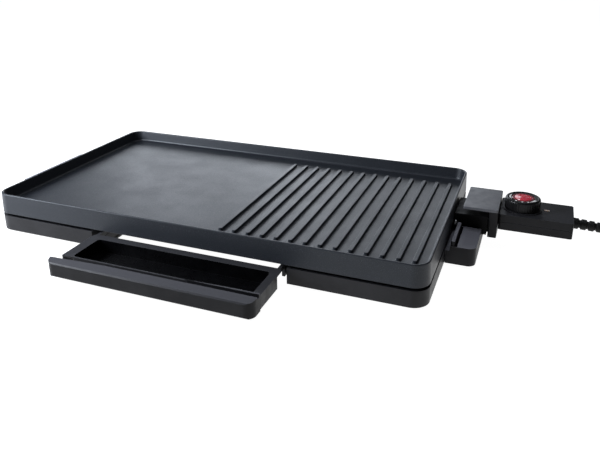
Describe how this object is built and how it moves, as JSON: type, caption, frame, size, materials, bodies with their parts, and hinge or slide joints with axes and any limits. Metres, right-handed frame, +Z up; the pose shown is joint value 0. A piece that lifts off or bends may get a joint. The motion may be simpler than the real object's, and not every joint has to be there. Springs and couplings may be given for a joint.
{
  "type": "electric griddle",
  "caption": "Table-top electric griddle with a half smooth, half ribbed plate, a pull-out drip tray, side handles and a plug-in thermostat controller with a cord.",
  "frame": {"origin": "on the surface the griddle stands on, under the middle of its outline without the cord", "axes": "+X along the long side towards the controller, +Y from the drip tray to the rear, +Z up"},
  "size_m": [0.7933, 0.3344, 0.0526],
  "materials": {
    "nonstick": "satin, fine-grained non-stick coating",
    "plastic": "fine satin black",
    "soft_plastic": "fine matt dark grey",
    "roof": "satin grey",
    "gloss": "glossy black",
    "tray_black": "black enamel",
    "steel": "plated",
    "aluminised": "aluminised sheet",
    "sheath": "heat-darkened",
    "brass": "plated",
    "ceramic": "unglazed",
    "rubber": "matt black",
    "red_lens": "clear red, lit",
    "pale_lens": "milky"
  },
  "bodies": {
    "base": {"base_frame": "plastic", "tray_rail_left": "plastic", "tray_rail_right": "plastic", "heat_shield": "aluminised", "shield_screw_1": "steel", "shield_screw_2": "steel", "foot_1": "rubber", "foot_2": "rubber", "foot_3": "rubber", "foot_4": "rubber", "handle_left": "soft_plastic", "handle_right": "soft_plastic", "handle_guard_left": "soft_plastic", "handle_guard_right": "soft_plastic", "handle_screw_left_1": "steel", "handle_screw_left_2": "steel", "handle_screw_right_1": "steel", "handle_screw_right_2": "steel"},
    "plate": {"griddle_plate": "nonstick", "heating_element": "sheath", "element_clip_1": "steel", "element_clip_2": "steel", "element_clip_screw_1": "steel", "element_clip_screw_2": "steel", "terminal_insulator_1": "ceramic", "terminal_insulator_2": "ceramic", "terminal_pin_1": "steel", "terminal_pin_2": "steel", "probe_sleeve": "steel", "terminal_guard": "plastic", "guard_screw_1": "steel", "guard_screw_2": "steel"},
    "tray": {"drip_tray": "tray_black", "tray_front": "plastic", "tray_rivet_1": "steel", "tray_rivet_2": "steel"},
    "controller": {"controller_roof": "roof", "controller_neck": "plastic", "contact_carrier": "plastic", "contact_socket_1": "brass", "contact_socket_2": "brass", "probe_rod": "steel", "housing_bottom": "plastic", "housing_top": "plastic", "thermostat_unit": "aluminised", "pilot_lamp": "pale_lens", "indicator_lens": "pale_lens", "cord_clamp": "plastic", "housing_screw_1": "steel", "housing_screw_2": "steel", "strain_relief": "rubber", "cord_lead": "rubber", "cord_coil": "rubber", "cord_tie": "plastic", "plug_body": "rubber", "plug_pin_1": "brass", "plug_pin_2": "brass"},
    "knob": {"knob": "gloss", "knob_lens": "red_lens", "thermostat_shaft": "brass"}
  },
  "joints": [
    {"name": "tray_slide", "type": "slide", "parent": "base", "child": "tray", "axis": [0, 1, 0], "range_m": [0, 0.07]},
    {"name": "plate_lift", "type": "slide", "parent": "base", "child": "plate", "axis": [0, 0, 1], "range_m": [0, 0.06]},
    {"name": "controller_unplug", "type": "slide", "parent": "plate", "child": "controller", "axis": [1, 0, 0], "range_m": [0, 0.075]},
    {"name": "knob_turn", "type": "hinge", "parent": "controller", "child": "knob", "pos_m": [0.24305, 0.0773, 0.045], "axis": [0, 0, 1], "range_deg": [-150, 120]}
  ]
}
